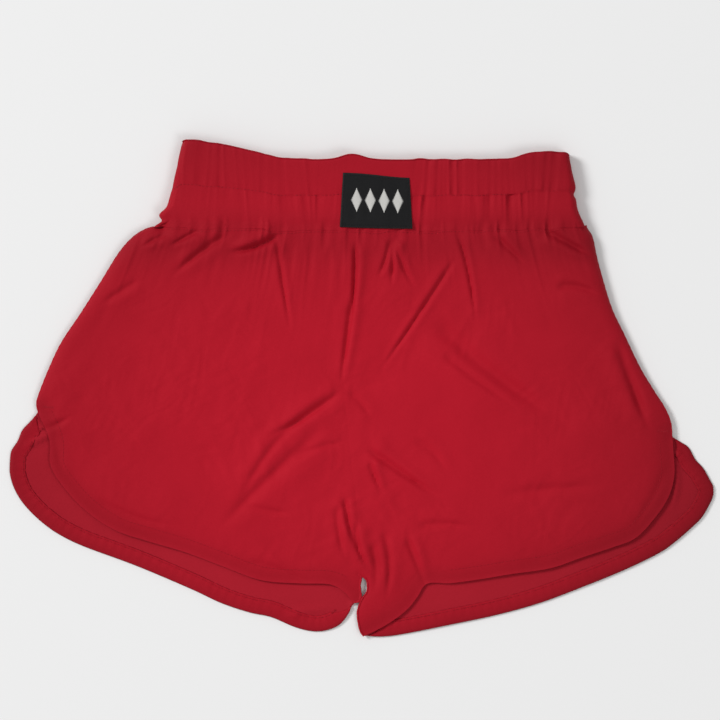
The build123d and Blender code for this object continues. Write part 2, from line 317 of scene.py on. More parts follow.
FRONT_FOLDS = (
    # down the rise, and pulled from it
    Fold((-5, 118), (-4, 88), (-8, 58), 2.2, 2.3, 0.7, 0.2),
    Fold((-7, 76), (-12, 40), (-16, 4), 2.3, 2.0, 0.7, 0.2),
    Fold((-14, 4), (-45, -22), (-76, -34), 2.8, 1.6, 0.3, 0.8),
    Fold((-11, 2), (1, -5), (8, -20), 2.4, 0.9),
    # pleats let out below the waistband
    Fold((73, 106), (54, 76), (12, 14), 1.9, 1.8, 0.2, 0.45),
    Fold((73, 126), (84, 96), (88, 52), 1.8, 1.6, 0.5, 0.2),
    Fold((-66, 124), (-61, 88), (-54, 46), 1.8, 1.6, 0.5, 0.2),
    Fold((-62, 124), (-80, 110), (-104, 109), 2.8, 3.0, 0.3, 0.9),
    Fold((-102, 123), (-124, 111), (-146, 90), 3.2, 2.2, 0.4, 0.7),
    Fold((-124, 126), (-136, 120), (-148, 113), 2.2, 1.6),
    Fold((-147, 124), (-158, 120), (-170, 112), 2.2, 1.6),
    Fold((-170, 88), (-186, 78), (-202, 68), 3.0, 1.1),
    Fold((22, 120), (20, 103), (12, 88), 2.2, 1.9),
    Fold((24, 120), (24, 99), (23, 82), 2.0, 1.7),
    Fold((25, 120), (29, 100), (42, 80), 2.0, 1.5),
    Fold((102, 122), (114, 111), (126, 99), 2.4, 1.5),
    Fold((139, 127), (157, 116), (182, 104), 2.8, 2.2, 0.4, 0.8),
    Fold((148, 82), (168, 86), (186, 74), 3.2, 1.5),
    Fold((196, 44), (208, 5), (223, -32), 4.2, 2.6, 0.4, 0.7),
    # drags towards the crotch
    Fold((3, -41), (30, -60), (62, -81), 2.6, 2.0, 0.6, 0.6),
    Fold((6, -50), (10, -66), (17, -78), 2.0, 1.4),
    Fold((54, 60), (87, 20), (160, -24), 7.0, 2.2, 0.4, 0.6),
    Fold((-27, -24), (-63, -55), (-114, -108), 5.5, 1.9, 0.6, 0.4),
    Fold((-52, -50), (-32, -38), (-10, -37), 3.0, 1.0),
    Fold((40, -35), (57, -42), (66, -61), 3.2, 0.9),
    Fold((-90, -85), (-70, -91), (-50, -92), 3.0, 0.9),
    Fold((42, -102), (68, -97), (87, -104), 3.2, 1.1),
    Fold((104, -79), (141, -71), (190, -71), 4.5, 1.0),
    Fold((60, 34), (84, 12), (122, -12), 3.0, 1.2, 0.3, 0.5),
    Fold((-20, 0), (-72, -30), (-96, -88), 4.0, 1.5, 0.3, 0.6),
    Fold((-13, -78), (-11, -98), (-5, -118), 2.4, 2.2, 0.4, 0.5),
    Fold((-4, -97), (-7, -122), (12, -142), 2.4, 2.2, 0.5, 0.3),
    Fold((34, -108), (42, -126), (54, -162), 2.4, 2.4, 0.7, 0.1),
    Fold((16, -104), (26, -128), (18, -160), 3.0, 1.7, 0.4, 0.4),
    Fold((7, -112), (15, -132), (8, -156), 3.6, 2.2, 0.5, 0.2),
    Fold((-18, -84), (-20, -104), (-12, -128), 2.6, 1.3, 0.4, 0.4),
    Fold((-90, -128), (-58, -134), (-30, -150), 2.6, 1.2, 0.5, 0.3),
    # near the hems and the slits
    Fold((238, -50), (222, -89), (206, -106), 3.6, 1.2),
    Fold((-206, -80), (-171, -100), (-140, -101), 3.4, 1.1),
    Fold((-256, -28), (-238, -28), (-222, -16), 2.4, 2.4, 0.4, 0.5),
    Fold((-236, -24), (-236, -48), (-226, -66), 3.0, 1.2, 0.5, 0.2),
)
BACK_FOLDS = (
    Fold((-3, 110), (-6, 40), (-2, -60), 2.6, 0.9),
    Fold((60, 110), (70, 70), (55, 20), 3.0, 1.0),
    Fold((-70, 112), (-80, 70), (-62, 10), 3.0, 1.0),
    Fold((120, 90), (150, 40), (180, -20), 4.0, 0.9),
    Fold((-120, 80), (-160, 30), (-200, -30), 4.0, 0.9),
    Fold((20, -60), (80, -90), (140, -100), 4.0, 0.8),
    Fold((-30, -70), (-80, -100), (-150, -110), 4.0, 0.8),
    Fold((-232, -26), (-248, -34), (-266, -46), 2.4, 2.6, 0.2, 0.2),
    Fold((-228, -22), (-242, -27), (-258, -26), 2.2, 2.2, 0.2, 0.2),
    Fold((236, -40), (252, -52), (266, -66), 2.4, 2.4, 0.2, 0.2),
    Fold((240, -44), (246, -70), (238, -92), 2.8, 2.0, 0.2, 0.2),
    Fold((-60, -172), (-40, -164), (-20, -166), 3.0, 2.0, 0.2, 0.2),
)


def gathers(x, y, seed, height, reach):
    """Small pleats that the waist seam takes up, fanning out and dying away below it."""
    down = np.clip(SEAM_Y - y, 0, None)
    fan = x - (x - WAIST_X) * down / 500
    crest = noise(fan, down * 0.12, 4.6, seed)
    crest = 1 - 2.0 * np.sqrt(crest * crest + 0.01)
    length = reach * (1 + 0.55 * noise(fan, down * 0, 21, seed + 1))
    return height * crest * np.exp(-((down / length) ** 1.3))


def rumple(x, y, seed):
    """The lie of crisp light cloth: swells, then creases, then fine crinkles."""
    swell = 1.0 * noise(x, y, 62, seed) + 0.45 * noise(x, y, 29, seed + 1)
    long_creases = sum(
        wrinkles(x, y, degrees, 75, 15, seed + 10 + degrees) * share
        for degrees, share in ((62, 0.5), (118, 0.5), (20, 0.25), (160, 0.25))
    )
    patches = smooth_step(0.5 + 0.9 * noise(x, y, 48, seed + 3))
    fine = sum(wrinkles(x, y, degrees, 26, 6.5, seed + 20 + degrees) for degrees in (35, 80, 140))
    return swell + 0.42 * long_creases * patches + 0.10 * fine * (0.35 + patches)


def side_distance(points, leg):
    return np.abs(nearest(points, leg.side)[0])


def inseam_distance(points, leg):
    """Distance from the inseam, smoothed so that its bends leave no creases in the cloth."""
    soft, step = 1.6, 0.5
    line = spaced(leg.inseam, int(arc_lengths(leg.inseam)[-1] / step))
    gap = np.full(len(points), 60.0)
    close = np.linalg.norm(points - (CROTCH + leg.foot) / 2, axis=1) < 70
    off = np.linalg.norm(points[close, None] - line[None], axis=2)
    near = soft * np.log(2 * soft / step) - soft * np.log(np.exp(-off / soft).sum(1))
    gap[close] = np.clip(near, 0, 60)
    return gap


SIDE_Z = 4.0  # where the front and the back are sewn together at the sides
INSEAM_Z = 3.4
FLOOR_GAP = 0.15
HEM_Z = 4.2
LEAST_FRONT_Z = 3.1  # clear of the back's inner face
TUCK_DEPTH = 0.9


def eased(value, sharpness):
    """The value where it is well above 0, easing down to 0 below."""
    return np.log1p(np.exp(sharpness * value)) / sharpness


def tucked_in(x, y):
    """How far the cloth is drawn in where it runs up behind the waistband."""
    return TUCK_DEPTH * np.clip((y - waist_seam_y(x)) / 0.8, 0, 1)


def front_height(points, leg):
    """Outer face of the front of one leg."""
    x, y = points[:, 0], points[:, 1]
    down = (SEAM_Y - y) / (SEAM_Y - CROTCH[1])
    lie = np.interp(down, (0, 0.07, 0.3, 0.8, 1.05), (BAND_DEPTH - 1.3, FRONT_Z + 0.9, 8.6, 6.2, 4.6))
    relief = rumple(x, y, 11) * smooth_step(0.25 + down * 3)
    relief += gathers(x, y, 31, 0.95, 24)
    relief += sum(fold.relief(points) for fold in FRONT_FOLDS)
    seam_gap = nearest(points, RISE["front"])[0] / 1.3
    tucked = smooth_step(down * 8) * (0.25 + 0.75 * smooth_step((0.42 - down) / 0.12))
    relief -= 0.42 * np.exp(-(seam_gap**2)) * tucked
    relief += 0.10 * np.sin(y / 1.4 + noise(x, y, 9, 5) * 3) * np.exp(-((seam_gap / 3.2) ** 2)) * tucked
    side = side_distance(points, leg)
    inner = inseam_distance(points, leg)
    hem, hem_share = nearest(points, leg.hem["front"])
    hem = np.abs(hem)
    relief *= 0.35 + 0.65 * smooth_step(np.minimum(side, inner) / 16)
    pucker = 0.34 * noise(x, y, 5.5, 51) * (0.6 + 0.6 * noise(x, y, 40, 52))
    relief += pucker * np.exp(-(((hem - 9) / 5) ** 2))
    relief -= 0.16 * np.exp(-(((hem - 10.2) / 0.9) ** 2))
    z = lie + relief
    turning_end = (leg.front_hem_end - 0.03, leg.front_hem_end + 0.03)
    low_hem = np.interp(hem_share, turning_end, (HEM_Z, HEM_Z - 0.9))
    z = low_hem + (z - low_hem) * (0.25 + 0.75 * smooth_step(hem / 26))
    z = LEAST_FRONT_Z + eased(z - LEAST_FRONT_Z, 2.5)
    z = SIDE_Z + (z - SIDE_Z) * rounded(side, 11)
    z = INSEAM_Z + (z - INSEAM_Z) * rounded(inner, 7)
    return z - tucked_in(x, y)


def back_height(points, leg):
    """Outer face of the back of one leg, which lies on the floor."""
    x, y = points[:, 0], points[:, 1]
    relief = 0.5 + 0.5 * rumple(x, y, 71) + gathers(x, y, 91, 0.8, 30)
    relief += sum(fold.relief(points) for fold in BACK_FOLDS) * -0.8
    relief += 0.9 * np.exp(-(((x - RISE_X) / 1.6) ** 2))
    hem = np.abs(nearest(points, leg.hem["back"])[0])
    relief *= 0.45 + 0.55 * smooth_step(hem / 16)
    z = FLOOR_GAP + 1.1 * eased(relief, 1.6)
    side = side_distance(points, leg)
    inner = inseam_distance(points, leg)
    z = SIDE_Z + (z - SIDE_Z) * rounded(side, 8)
    z = INSEAM_Z + (z - INSEAM_Z) * rounded(inner, 6)
    return np.clip(z + tucked_in(x, y), FLOOR_GAP, None)


HEIGHTS = {"front": front_height, "back": back_height}


def raised(line, layer, leg, lift=0.0):
    """A plan line laid on one layer of the cloth, lifted off its outer face."""
    return np.column_stack([line, HEIGHTS[layer](line, leg) + lift])


# Meshes


def link(mesh, name):
    piece = bpy.data.objects.new(name, mesh)
    bpy.context.scene.collection.objects.link(piece)
    return piece


def painted_shade_amount(x, y):
    """Painted shade: how much the red is darkened towards the waist, the sides and the tips, less up on the
    waistband and more just below its seam: 0 is none.
    """
    across = (x + 24) / (0.91 * HALF_WIDTH)
    along = (y + 20) / (1.03 * HALF_HEIGHT)
    painted_shade = 0.31 * (across**2 + along**2) - 0.035
    painted_shade -= 0.09 * smooth_step((y - SEAM_Y) / 20)
    painted_shade += 0.10 * np.exp(-(((y - SEAM_Y + 14) / 16) ** 2))
    return np.clip(painted_shade, 0, 0.42)


def store(mesh, name, values):
    attribute = mesh.attributes.new(name, "FLOAT", "POINT")
    attribute.data.foreach_set("value", np.asarray(values, np.float32).ravel())


def grid_piece(name, grid, uv, wear=None, closed_rows=False, closed_columns=False, extra_painted_shade=0.0):
    """A piece from a grid of points in mm, with its cloth's own plan in mm as UVs."""
    rows, columns = grid.shape[:2]
    last_row = rows if closed_rows else rows - 1
    last_column = columns if closed_columns else columns - 1
    i, j = np.meshgrid(np.arange(last_row), np.arange(last_column), indexing="ij")
    i2, j2 = i + 1, j + 1
    corners = ((i, j), (i, j2), (i2, j2), (i2, j))
    faces = np.stack([(a % rows) * columns + b % columns for a, b in corners], axis=-1)
    mesh = bpy.data.meshes.new(name)
    mesh.from_pydata((grid.reshape(-1, 3) * MM).tolist(), [], faces.reshape(-1, 4).tolist())
    layer = mesh.uv_layers.new(name="cloth")
    flat = np.stack([uv[a % uv.shape[0], b % uv.shape[1]] for a, b in corners], axis=-2)
    layer.data.foreach_set("uv", (flat.reshape(-1, 2) / 100).astype(np.float32).ravel())
    store(mesh, "wear", np.zeros(grid.shape[:2]) if wear is None else wear)
    # painted shade: darker towards the waist, the sides and the tips, plus any extra painted shade given for
    # the piece
    store(mesh, "painted_shade", painted_shade_amount(grid[..., 0], grid[..., 1]) + extra_painted_shade)
    mesh.shade_smooth()
    return link(mesh, name)


def finished(piece):
    """The piece with its modifiers applied, as a plain mesh."""
    evaluated = piece.evaluated_get(bpy.context.evaluated_depsgraph_get())
    mesh = bpy.data.meshes.new_from_object(evaluated)
    piece.modifiers.clear()
    piece.data = mesh
    mesh.name = piece.name
    return piece


def face_out(piece):
    """Turns a closed piece's faces outwards, where its signed volume says that they face in."""
    shell = bmesh.new()
    shell.from_mesh(piece.data)
    inside_out = shell.calc_volume(signed=True) < 0
    shell.free()
    if inside_out:
        piece.data.flip_normals()
    return piece


def thickened(piece, thickness):
    """Gives a sheet its thickness inwards, with its second material on the inner face."""
    wall = piece.modifiers.new("thickness", "SOLIDIFY")
    wall.thickness = thickness * MM
    wall.offset = -1
    wall.material_offset = len(piece.data.materials) - 1
    return finished(piece)


def paint(piece, outside, inside=None):
    piece.data.materials.clear()
    piece.data.materials.append(outside)
    if inside:
        piece.data.materials.append(inside)
    return piece


# Node groups and materials


def group_tree(name, kind, inputs, outputs):
    tree = bpy.data.node_groups.new(name, kind)
    for direction, sockets in (("INPUT", inputs), ("OUTPUT", outputs)):
        for label, socket_type, *default in sockets:
            socket = tree.interface.new_socket(label, in_out=direction, socket_type=socket_type)
            if default:
                socket.default_value = default[0]
    start, end = tree.nodes.new("NodeGroupInput"), tree.nodes.new("NodeGroupOutput")
    return tree, start.outputs, end.inputs


def add_node(tree, kind, settings=None, **inputs):
    """A node with its properties set and its inputs linked or given values, by name."""
    made = tree.nodes.new(kind)
    for key, value in (settings or {}).items():
        setattr(made, key, value)
    for key, value in inputs.items():
        socket = made.inputs[int(key[1:])] if key[1:].isdigit() else made.inputs[key.replace("_", " ")]
        if isinstance(value, bpy.types.NodeSocket):
            tree.links.new(value, socket)
        else:
            socket.default_value = value
    return made


def output_of(tree, kind, settings=None, **inputs):
    """The first output of a new node."""
    return add_node(tree, kind, settings, **inputs).outputs[0]


def maths(tree, operation, *values):
    inputs = {f"i{k}": value for k, value in enumerate(values)}
    return output_of(tree, "ShaderNodeMath", {"operation": operation}, **inputs)


FLOAT, COLOUR, VECTOR = "NodeSocketFloat", "NodeSocketColor", "NodeSocketVector"


def weave_group():
    """Plain weave: threads that pass over and under each other, with slubs."""
    tree, given, out = group_tree(
        "plain_weave",
        "ShaderNodeTree",
        [("Vector", VECTOR), ("Warp", FLOAT, 200.0), ("Weft", FLOAT, 200.0), ("Slub", FLOAT, 0.3)],
        [("Height", FLOAT), ("Gaps", FLOAT)],
    )
    parts = add_node(tree, "ShaderNodeSeparateXYZ", Vector=given["Vector"]).outputs
    warp = maths(tree, "MULTIPLY", maths(tree, "MULTIPLY", parts[0], given["Warp"]), math.pi)
    weft = maths(tree, "MULTIPLY", maths(tree, "MULTIPLY", parts[1], given["Weft"]), math.pi)
    sine_x, sine_y = maths(tree, "SINE", warp), maths(tree, "SINE", weft)
    over = maths(tree, "MULTIPLY_ADD", maths(tree, "MULTIPLY", sine_x, sine_y), 2.0, 0.5)
    over = output_of(tree, "ShaderNodeClamp", Value=over)
    along = maths(tree, "ABSOLUTE", sine_x)
    across = maths(tree, "ABSOLUTE", sine_y)
    mixed = output_of(tree, "ShaderNodeMix", Factor=over, A=along, B=across)
    slub = output_of(
        tree, "ShaderNodeTexNoise", Vector=given["Vector"], Scale=160.0, Detail=3.0, Roughness=0.6
    )
    lift = maths(tree, "MULTIPLY", slub, given["Slub"])
    tree.links.new(maths(tree, "ADD", mixed, lift), out["Height"])
    # Gaps: the low spots between threads, darkened later as painted shade.
    tree.links.new(maths(tree, "SUBTRACT", 1.0, maths(tree, "MAXIMUM", along, across)), out["Gaps"])
    return tree


def tone_group():
    """Uneven dye: broad and fine differences of tone at random, and a darker tone wherever the Gaps input is
    high, which on woven cloth is painted shade in the gaps between threads.
    """
    tree, given, out = group_tree(
        "uneven_dye_and_gap_shade",
        "ShaderNodeTree",
        [
            ("Vector", VECTOR),
            ("Light", COLOUR, (0.5, 0.5, 0.5, 1)),
            ("Dark", COLOUR, (0.3, 0.3, 0.3, 1)),
            ("Gaps", FLOAT, 0.0),
            ("Broad", FLOAT, 3.0),
            ("Fine", FLOAT, 60.0),
        ],
        [("Color", COLOUR), ("Tone", FLOAT)],
    )
    broad = output_of(tree, "ShaderNodeTexNoise", Vector=given["Vector"], Scale=given["Broad"], Detail=2.0)
    fine = output_of(tree, "ShaderNodeTexNoise", Vector=given["Vector"], Scale=given["Fine"], Detail=4.0)
    tone = maths(tree, "ADD", maths(tree, "MULTIPLY", broad, 0.6), maths(tree, "MULTIPLY", fine, 0.5))
    # painted shade: the tone moves towards the dark colour where the gaps are
    tone = maths(tree, "ADD", tone, maths(tree, "MULTIPLY", given["Gaps"], 0.25))
    tone = output_of(tree, "ShaderNodeClamp", Value=tone)
    mix = add_node(tree, "ShaderNodeMix", {"data_type": "RGBA"}, i0=tone, i6=given["Light"], i7=given["Dark"])
    tree.links.new(mix.outputs[2], out["Color"])
    tree.links.new(tone, out["Tone"])
    return tree


def wear_group():
    """Edges rubbed paler and rougher, broken up so that the wear is uneven."""
    tree, given, out = group_tree(
        "rubbed_edges",
        "ShaderNodeTree",
        [
            ("Vector", VECTOR),
            ("Color", COLOUR, (0.5, 0.5, 0.5, 1)),
            ("Worn", COLOUR, (0.7, 0.7, 0.7, 1)),
            ("Edge", FLOAT, 0.0),
            ("Amount", FLOAT, 0.5),
        ],
        [("Color", COLOUR), ("Mask", FLOAT)],
    )
    patches = output_of(
        tree, "ShaderNodeTexNoise", Vector=given["Vector"], Scale=28.0, Detail=5.0, Roughness=0.65
    )
    mask = maths(tree, "MULTIPLY", given["Edge"], maths(tree, "MULTIPLY_ADD", patches, 1.6, -0.3))
    mask = output_of(tree, "ShaderNodeClamp", Value=maths(tree, "MULTIPLY", mask, given["Amount"]))
    mix = add_node(tree, "ShaderNodeMix", {"data_type": "RGBA"}, i0=mask, i6=given["Color"], i7=given["Worn"])
    tree.links.new(mix.outputs[2], out["Color"])
    tree.links.new(mask, out["Mask"])
    return tree


WEAVE, TONE, WEAR = weave_group(), tone_group(), wear_group()


def use_group(tree, group, **inputs):
    made = tree.nodes.new("ShaderNodeGroup")
    made.node_tree = group
    for key, value in inputs.items():
        if isinstance(value, bpy.types.NodeSocket):
            tree.links.new(value, made.inputs[key])
        else:
            made.inputs[key].default_value = value
    return made.outputs


def new_material(name, **shader):
    """A material, its tree and its Principled shader, with values set on the shader's own sockets."""
    material = bpy.data.materials.new(name)
    material.use_nodes = True
    tree = material.node_tree
    principled = tree.nodes["Principled BSDF"]
    for key, value in shader.items():
        principled.inputs[key.replace("_", " ")].default_value = value
    return material, tree, principled


def woven_cloth(
    name, light, dark, worn, warp, weft, bump, slub=0.4, wear=0.5, rough=(0.58, 0.74), painted_shade_strength=0.0, **shader
):
    """Woven cloth whose pattern follows the piece's own flat cut."""
    material, tree, principled = new_material(name, **shader)
    cut = output_of(tree, "ShaderNodeUVMap", {"uv_map": "cloth"})
    edge = add_node(tree, "ShaderNodeAttribute", {"attribute_name": "wear"}).outputs["Fac"]
    weave = use_group(tree, WEAVE, Vector=cut, Warp=warp, Weft=weft, Slub=slub)
    # The weave's gaps feed the tone as painted shade between threads.
    tone = use_group(tree, TONE, Vector=cut, Light=light, Dark=dark, Gaps=weave["Gaps"])
    rubbed = use_group(tree, WEAR, Vector=cut, Color=tone["Color"], Worn=worn, Edge=edge, Amount=wear)
    # Painted shade: the base colour is scaled down by the per-vertex shade attribute, as strongly as the
    # material asks.
    painted_shade = add_node(tree, "ShaderNodeAttribute", {"attribute_name": "painted_shade"}).outputs["Fac"]
    kept = maths(tree, "MULTIPLY_ADD", painted_shade, -painted_shade_strength, 1.0)
    colour_with_painted_shade = output_of(
        tree, "ShaderNodeVectorMath", {"operation": "SCALE"}, Vector=rubbed["Color"], Scale=kept
    )
    tree.links.new(colour_with_painted_shade, principled.inputs["Base Color"])
    roughness = output_of(tree, "ShaderNodeMapRange", Value=tone["Tone"], To_Min=rough[0], To_Max=rough[1])
    tree.links.new(roughness, principled.inputs["Roughness"])
    relief = output_of(tree, "ShaderNodeBump", Strength=0.6, Distance=bump * MM, Height=weave["Height"])
    tree.links.new(relief, principled.inputs["Normal"])
    return material


def thread(name, light, dark, twist, **shader):
    """Sewing thread with its twist as fine slanting ridges."""
    material, tree, principled = new_material(name, **shader)
    place = add_node(tree, "ShaderNodeTexCoord").outputs["Object"]
    strands = add_node(
        tree,
        "ShaderNodeTexWave",
        {"bands_direction": "DIAGONAL"},
        Vector=place,
        Scale=twist,
        Distortion=1.5,
        Detail=2.0,
    ).outputs["Fac"]
    tone = use_group(tree, TONE, Vector=place, Light=light, Dark=dark, Gaps=strands, Broad=30.0, Fine=900.0)
    tree.links.new(tone["Color"], principled.inputs["Base Color"])
    relief = output_of(tree, "ShaderNodeBump", Strength=0.5, Distance=0.06 * MM, Height=strands)
    tree.links.new(relief, principled.inputs["Normal"])
    return material


# Both red cloths take the painted shade at full strength.
RED_CLOTH = woven_cloth(
    "red_microfibre",
    light=(0.475, 0.0058, 0.0202, 1),
    dark=(0.39, 0.0045, 0.0155, 1),
    worn=(0.50, 0.012, 0.029, 1),
    warp=180.0,
    weft=150.0,
    bump=0.10,
    painted_shade_strength=1.0,
    Sheen_Weight=0.06,
    Sheen_Roughness=0.4,
    Sheen_Tint=(1.0, 0.25, 0.3, 1),
    Specular_IOR_Level=0.10,
)
RED_INSIDE = woven_cloth(
    "red_inner_face",
    light=(0.465, 0.0125, 0.0275, 1),
    dark=(0.39, 0.0095, 0.0215, 1),
    worn=(0.50, 0.022, 0.040, 1),
    warp=180.0,
    weft=150.0,
    bump=0.12,
    slub=0.6,
    wear=0.7,
    rough=(0.7, 0.85),
    painted_shade_strength=1.0,
    Sheen_Weight=0.08,
    Sheen_Roughness=0.5,
    Sheen_Tint=(1.0, 0.4, 0.42, 1),
    Specular_IOR_Level=0.08,
)
BLACK_LABEL = woven_cloth(
    "black_damask_label",
    light=(0.0085, 0.0085, 0.0092, 1),
    dark=(0.0045, 0.0045, 0.005, 1),
    worn=(0.03, 0.03, 0.031, 1),
    warp=300.0,
    weft=110.0,
    bump=0.09,
    wear=0.8,
    rough=(0.5, 0.66),
    Sheen_Weight=0.03,
    Sheen_Roughness=0.3,
    Specular_IOR_Level=0.14,
)
CARE_TAPE = woven_cloth(
    "care_label_satin",
    light=(0.72, 0.71, 0.68, 1),
    dark=(0.62, 0.61, 0.58, 1),
    worn=(0.5, 0.48, 0.45, 1),
    warp=260.0,
    weft=120.0,
    bump=0.05,
    rough=(0.35, 0.5),
    Sheen_Weight=0.1,
)
RED_THREAD = thread(
    "red_thread",
    light=(0.36, 0.0048, 0.0165, 1),
    dark=(0.28, 0.0038, 0.0125, 1),
    twist=900.0,
    Roughness=0.5,
    Specular_IOR_Level=0.15,
)
BLACK_THREAD = thread(
    "black_thread",
    light=(0.014, 0.014, 0.015, 1),
    dark=(0.006, 0.006, 0.007, 1),
    twist=900.0,
    Roughness=0.5,
    Specular_IOR_Level=0.2,
)
EMBLEM_THREAD = thread(
    "off_white_thread",
    light=(0.66, 0.65, 0.62, 1),
    dark=(0.5, 0.49, 0.47, 1),
    twist=700.0,
    Roughness=0.42,
    Sheen_Weight=0.2,
)


# Geometry Nodes for threads


def made_real(tree, instances, material):
    """Instances as one smooth mesh in one material."""
    real = output_of(tree, "GeometryNodeRealizeInstances", Geometry=instances)
    real = output_of(tree, "GeometryNodeSetShadeSmooth", Geometry=real)
    return output_of(tree, "GeometryNodeSetMaterial", Geometry=real, Material=material)


def running_stitch():
    """Stitches laid end to end along the edges of a path."""
    tree, given, out = group_tree(
        "running_stitch",
        "GeometryNodeTree",
        [
            ("Path", "NodeSocketGeometry"),
            ("Pitch", FLOAT, 0.003),
            ("Length", FLOAT, 0.0026),
            ("Width", FLOAT, 0.0006),
            ("Wander", FLOAT, 0.06),
            ("Seed", "NodeSocketInt", 1),
            ("Thread", "NodeSocketMaterial"),
        ],
        [("Stitches", "NodeSocketGeometry")],
    )
    curve = output_of(tree, "GeometryNodeMeshToCurve", Mesh=given["Path"])
    dots = add_node(tree, "GeometryNodeCurveToPoints", {"mode": "LENGTH"}, Curve=curve, Length=given["Pitch"])
    grain = output_of(tree, "GeometryNodeMeshUVSphere", Segments=7, Rings=5, Radius=0.5)
    facing = output_of(
        tree, "FunctionNodeAlignRotationToVector", {"axis": "X"}, Vector=dots.outputs["Tangent"]
    )
    size = output_of(tree, "ShaderNodeCombineXYZ", X=given["Length"], Y=given["Width"], Z=given["Width"])
    laid = output_of(
        tree,
        "GeometryNodeInstanceOnPoints",
        Points=dots.outputs["Points"],
        Instance=grain,
        Rotation=facing,
        Scale=size,
    )
    back = maths(tree, "MULTIPLY", given["Wander"], -1.0)
    random = add_node(tree, "FunctionNodeRandomValue", i2=back, i3=given["Wander"], Seed=given["Seed"])
    turn = random.outputs[1]
    turn = output_of(tree, "ShaderNodeCombineXYZ", Z=turn)
    laid = output_of(tree, "GeometryNodeRotateInstances", Instances=laid, Rotation=turn)
    tree.links.new(made_real(tree, laid, given["Thread"]), out["Stitches"])
    return tree


def satin_fill():
    """Embroidery: threads laid side by side, each as long as its point's reach says."""
    tree, given, out = group_tree(
        "satin_fill",
        "GeometryNodeTree",
        [
            ("Rows", "NodeSocketGeometry"),
            ("Width", FLOAT, 0.0006),
            ("Loft", FLOAT, 0.0006),
            ("Thread", "NodeSocketMaterial"),
        ],
        [("Threads", "NodeSocketGeometry")],
    )
    dots = output_of(tree, "GeometryNodeMeshToPoints", Mesh=given["Rows"])
    reach = output_of(tree, "GeometryNodeInputNamedAttribute", {"data_type": "FLOAT"}, Name="reach")
    grain = output_of(tree, "GeometryNodeMeshUVSphere", Segments=8, Rings=8, Radius=0.5)
    size = output_of(tree, "ShaderNodeCombineXYZ", X=reach, Y=given["Width"], Z=given["Loft"])
    laid = output_of(tree, "GeometryNodeInstanceOnPoints", Points=dots, Instance=grain, Scale=size)
    tree.links.new(made_real(tree, laid, given["Thread"]), out["Threads"])
    return tree


RUNNING_STITCH, SATIN_FILL = running_stitch(), satin_fill()


def worked(piece, tree, **inputs):
    """The piece that a Geometry Nodes tree makes, with the tree's named inputs set."""
    modifier = piece.modifiers.new(tree.name, "NODES")
    modifier.node_group = tree
    for item in tree.interface.items_tree:
        if item.in_out == "INPUT" and item.name in inputs:
            modifier[item.identifier] = inputs[item.name]
    return finished(piece)


def path_piece(name, *lines):
    """Lines of points in mm as one object of edges."""
    points, edges = [], []
    for line in lines:
        first = len(points)
        points += (line * MM).tolist()
        edges += [(first + k, first + k + 1) for k in range(len(line) - 1)]
    mesh = bpy.data.meshes.new(name)
    mesh.from_pydata(points, edges, [])
    return link(mesh, name)


def stitched(name, material, *lines, pitch=3.0, length=2.5, width=0.62, wander=0.05, seed=1):
    return worked(
        path_piece(name, *lines),
        RUNNING_STITCH,
        Pitch=pitch * MM,
        Length=length * MM,
        Width=width * MM,
        Wander=wander,
        Seed=seed,
        Thread=material,
    )


# Riding on bodies, and hiding the CAD parts that pieces replace

FOLD_RUN = RIGHT.slit - LEFT.slit
FOLD_RUN = FOLD_RUN / np.linalg.norm(FOLD_RUN)
FOLD_UP = np.array((FOLD_RUN[1], -FOLD_RUN[0]))


def bends(piece, *nodes, slot):
    """A piece that crosses the fold line, between the hips and the legs: its transform is baked into its mesh
    and the CAD parts it replaces are hidden, but nothing here lets it bend.
    """
    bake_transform(piece)
    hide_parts(*nodes)
    return piece


def rides(piece, *nodes, slot, body="hips"):
    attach(piece, body)
    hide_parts(*nodes)
    return piece


# Panels


TUCK = 1.4  # the panels reach this far up behind the waistband


def panel_grid(leg, layer, columns, rows):
    """Plan of one panel as a grid, from the rise out to the side and from the waist down to the hem."""
    hem = leg.hem[layer]
    turn = int(len(hem) * leg.turn[layer])
    top = spaced(np.array((WAIST, leg.waist_corner)), columns)
    top[:, 1] = waist_seam_y(top[:, 0]) + TUCK
    bottom = spaced(hem[turn:][::-1], columns)
    rise = spaced(np.vstack([top[:1], RISE[layer][1:], leg.inseam[1:]]), rows)
    side = spaced(np.vstack([top[-1:], leg.side[1:-1], hem[: turn + 1]]), rows)
    u = np.linspace(0, 1, columns)[None, :, None]
    v = np.linspace(0, 1, rows)[:, None, None]
    across = (1 - u) * rise[:, None] + u * side[:, None]
    down = (1 - v) * top[None] + v * bottom[None]
    ends = (1 - v) * ((1 - u) * top[0] + u * top[-1]) + v * ((1 - u) * bottom[0] + u * bottom[-1])
    plan = across + down - ends
    for _ in range(250):  # evens out the cells, which would fold over near a sharp corner of the hem
        plan[1:-1, 1:-1] = (plan[:-2, 1:-1] + plan[2:, 1:-1] + plan[1:-1, :-2] + plan[1:-1, 2:]) / 4
    return plan


